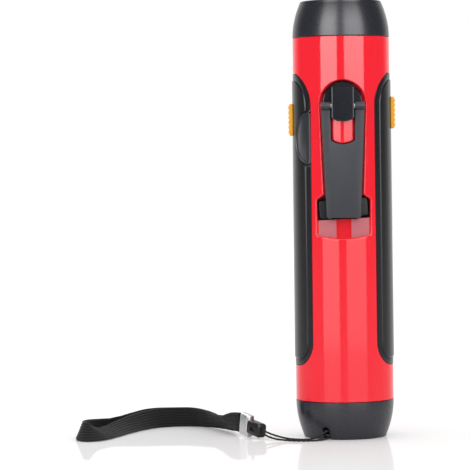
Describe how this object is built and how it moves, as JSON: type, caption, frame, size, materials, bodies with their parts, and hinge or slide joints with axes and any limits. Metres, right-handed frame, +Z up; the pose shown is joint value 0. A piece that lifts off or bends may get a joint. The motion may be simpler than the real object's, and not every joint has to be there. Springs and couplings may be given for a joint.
{
  "type": "hand crank flashlight",
  "caption": "Upright pocket flashlight with a folding hand crank, slide switches, a covered charging port and a wrist strap.",
  "frame": {"origin": "centre of the tail cap's flat base, on the table", "axes": "+Z up along the flashlight to the lens, -Y out of the side that holds the crank, -X towards the port cover and the strap"},
  "size_m": [0.1608, 0.0788, 0.2168],
  "materials": {
    "body_red": "high gloss",
    "cap_slate": "satin",
    "panel_black": "satin",
    "arm_grey": "satin",
    "amber_plastic": "satin",
    "black_rubber": "matt",
    "steel": "satin",
    "crimp_chrome": "polished, finely ribbed",
    "bush_brass": "turned",
    "reflector_chrome": "vacuum chromed plastic",
    "clear_lens": "clear",
    "white_plastic": "satin",
    "led_resin": "clear resin over phosphor",
    "copper_wire": "enamelled copper wire",
    "circuit_board": "solder mask",
    "cell": "film round a metal can",
    "magnet": "plain",
    "webbing": "woven"
  },
  "bodies": {
    "case": {"head_ring": "cap_slate", "lens": "clear_lens", "lens_seal": "black_rubber", "reflector": "reflector_chrome", "led_board": "white_plastic", "led": "led_resin", "front_shell": "body_red", "back_shell": "body_red", "tail_cap": "cap_slate", "left_grip_panel": "panel_black", "right_grip_panel": "panel_black", "usb_socket": "steel", "dc_jack": "panel_black", "hub_bush": "bush_brass", "hinge_block": "cap_slate", "hinge_pin": "steel", "compound_axle": "steel", "gear_plate": "steel", "gear_plate_screw_1": "steel", "gear_plate_screw_2": "steel", "gear_plate_screw_3": "steel", "generator_coil": "copper_wire", "generator_housing": "steel", "left_switch": "steel", "left_switch_board": "circuit_board", "right_switch": "steel", "right_switch_board": "circuit_board", "main_board": "circuit_board", "battery_cell_1": "cell", "battery_cell_2": "cell", "battery_cell_3": "cell", "battery_holder": "panel_black", "contact_plate_bottom": "steel", "contact_plate_top": "steel", "strap_webbing": "webbing", "strap_crimp": "crimp_chrome", "strap_end_cap": "panel_black", "strap_string": "webbing", "case_screw_1": "steel", "case_screw_2": "steel", "case_screw_3": "steel", "case_screw_4": "steel"},
    "crank": {"crank_arm": "arm_grey", "knob_screw": "steel"},
    "knob": {"crank_knob": "cap_slate"},
    "hub": {"crank_hub": "cap_slate", "drive_gear": "white_plastic"},
    "compound": {"compound_gear": "white_plastic"},
    "generator_rotor": {"rotor": "steel", "rotor_magnet": "magnet"},
    "left_button": {"left_switch_button": "amber_plastic"},
    "right_button": {"right_switch_button": "amber_plastic"},
    "cover": {"port_cover": "black_rubber"}
  },
  "joints": [
    {"name": "crank_fold", "type": "hinge", "parent": "case", "child": "crank", "pos_m": [0, -0.0244, 0.1643], "axis": [-1, 0, 0], "range_deg": [0, 180]},
    {"name": "knob_spin", "type": "hinge", "parent": "crank", "child": "knob", "pos_m": [0, -0.0179, 0.1144], "axis": [0, -1, 0], "continuous": true},
    {"name": "hub_spin", "type": "hinge", "parent": "case", "child": "hub", "pos_m": [0, -0.0174, 0.1662], "axis": [0, -1, 0], "continuous": true},
    {"name": "compound_spin", "type": "hinge", "parent": "case", "child": "compound", "pos_m": [0, -0.0126, 0.1502], "axis": [0, -1, 0], "continuous": true},
    {"name": "rotor_spin", "type": "hinge", "parent": "case", "child": "generator_rotor", "pos_m": [0, -0.0099, 0.1358], "axis": [0, -1, 0], "continuous": true},
    {"name": "left_switch_slide", "type": "slide", "parent": "case", "child": "left_button", "axis": [0, 0, 1], "range_m": [0, 0.003]},
    {"name": "right_switch_slide", "type": "slide", "parent": "case", "child": "right_button", "axis": [0, 0, 1], "range_m": [-0.003, 0]},
    {"name": "port_cover_hinge", "type": "hinge", "parent": "case", "child": "cover", "pos_m": [-0.01617, -0.01754, 0.1487], "axis": [0, 0, 1], "range_deg": [0, 100]}
  ],
  "couplings": [
    {"joint": "hub_spin", "follows": "rotor_spin", "ratio": 0.12821},
    {"joint": "compound_spin", "follows": "rotor_spin", "ratio": -0.38462}
  ]
}
